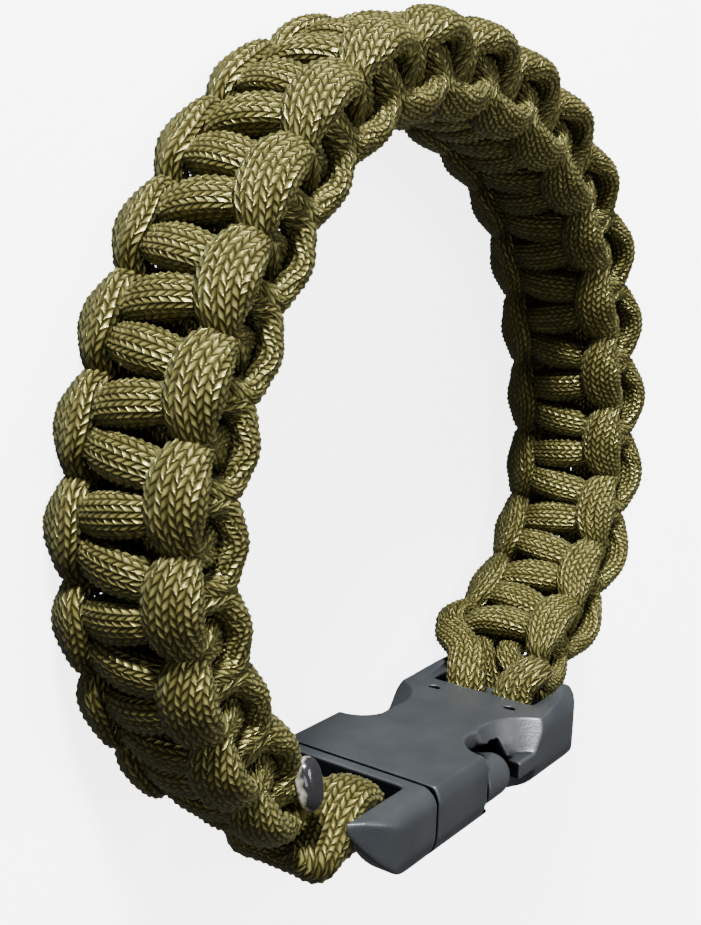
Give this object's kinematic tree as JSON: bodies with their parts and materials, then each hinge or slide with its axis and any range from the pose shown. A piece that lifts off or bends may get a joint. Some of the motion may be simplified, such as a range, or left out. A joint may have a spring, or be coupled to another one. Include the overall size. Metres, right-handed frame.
{
  "type": "paracord bracelet",
  "caption": "Bracelet knotted flat from two strands of braided cord round a two-strand core, closed with a contoured side release buckle.",
  "frame": {"origin": "bottom centre of the bracelet's box, on the surface that it lies on", "axes": "+Z along the loop's axis, up as it lies on its side; +X along the buckle from plug to socket, which is the longest extent; -Y towards the buckle"},
  "size_m": [0.0914, 0.0848, 0.0226],
  "materials": {
    "buckle": "fine satin moulded acetal",
    "cord": "braided nylon sheath, slightly glossy",
    "melt": "melted and smeared nylon"
  },
  "bodies": {
    "root": {"buckle_socket": "buckle", "buckle_plug": "buckle", "cord_a": "cord", "cord_b": "cord", "melted_end_a": "melt", "melted_end_b": "melt"}
  },
  "joints": []
}
